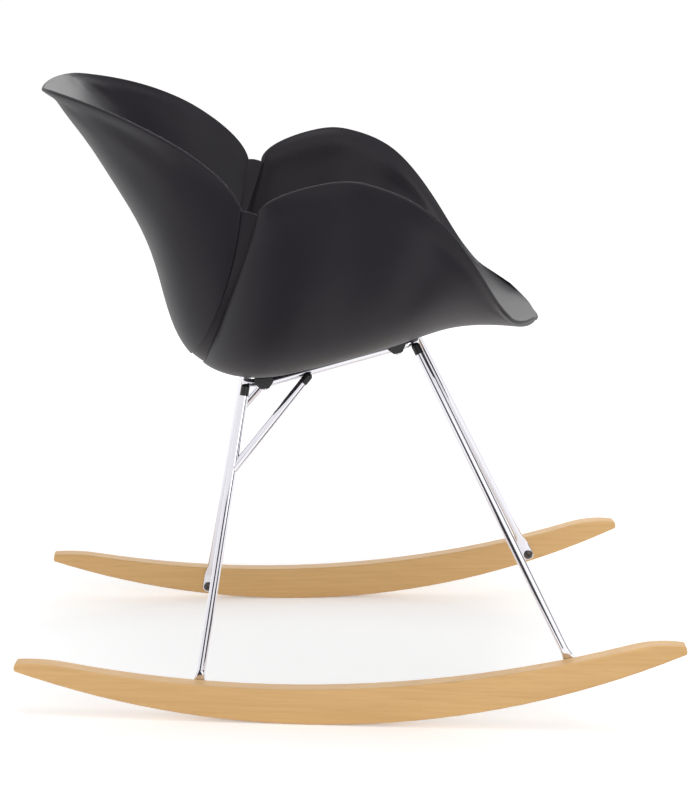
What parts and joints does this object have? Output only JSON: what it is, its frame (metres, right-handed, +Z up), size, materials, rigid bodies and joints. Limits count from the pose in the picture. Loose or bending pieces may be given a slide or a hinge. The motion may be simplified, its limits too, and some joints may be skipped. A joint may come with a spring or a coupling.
{
  "type": "rocking chair",
  "caption": "Moulded petal-shaped armchair shell on a bent chrome tube base with two curved wooden rockers.",
  "frame": {"origin": "on the floor, midway between the two lines where the rockers touch it at rest", "axes": "+Z up, -Y the way the sitter faces, X across the chair to the sitter's sides"},
  "size_m": [0.632, 0.7481, 0.6938],
  "materials": {
    "shell_plastic": "matte",
    "chrome_tube": "polished",
    "beech": "satin",
    "black_plastic": "satin",
    "screw_steel": "polished",
    "black_steel": "satin",
    "insert_brass": "satin"
  },
  "bodies": {
    "root": {"seat_shell": "shell_plastic", "seat_ring": "chrome_tube", "rocker_right": "beech", "leg_rear_right": "chrome_tube", "leg_front_right": "chrome_tube", "brace_right": "chrome_tube", "cap_rear_right": "black_plastic", "cap_front_right": "black_plastic", "cap_brace_right": "black_plastic", "mount_rear_right": "black_plastic", "shell_screw_rear_right": "screw_steel", "shell_insert_rear_right": "insert_brass", "rocker_bolt_rear_right": "black_steel", "wood_insert_rear_right": "insert_brass", "mount_front_right": "black_plastic", "shell_screw_front_right": "screw_steel", "shell_insert_front_right": "insert_brass", "rocker_bolt_front_right": "black_steel", "wood_insert_front_right": "insert_brass", "rocker_left": "beech", "leg_rear_left": "chrome_tube", "leg_front_left": "chrome_tube", "brace_left": "chrome_tube", "cap_rear_left": "black_plastic", "cap_front_left": "black_plastic", "cap_brace_left": "black_plastic", "mount_rear_left": "black_plastic", "shell_screw_rear_left": "screw_steel", "shell_insert_rear_left": "insert_brass", "rocker_bolt_rear_left": "black_steel", "wood_insert_rear_left": "insert_brass", "mount_front_left": "black_plastic", "shell_screw_front_left": "screw_steel", "shell_insert_front_left": "insert_brass", "rocker_bolt_front_left": "black_steel", "wood_insert_front_left": "insert_brass"}
  },
  "joints": []
}
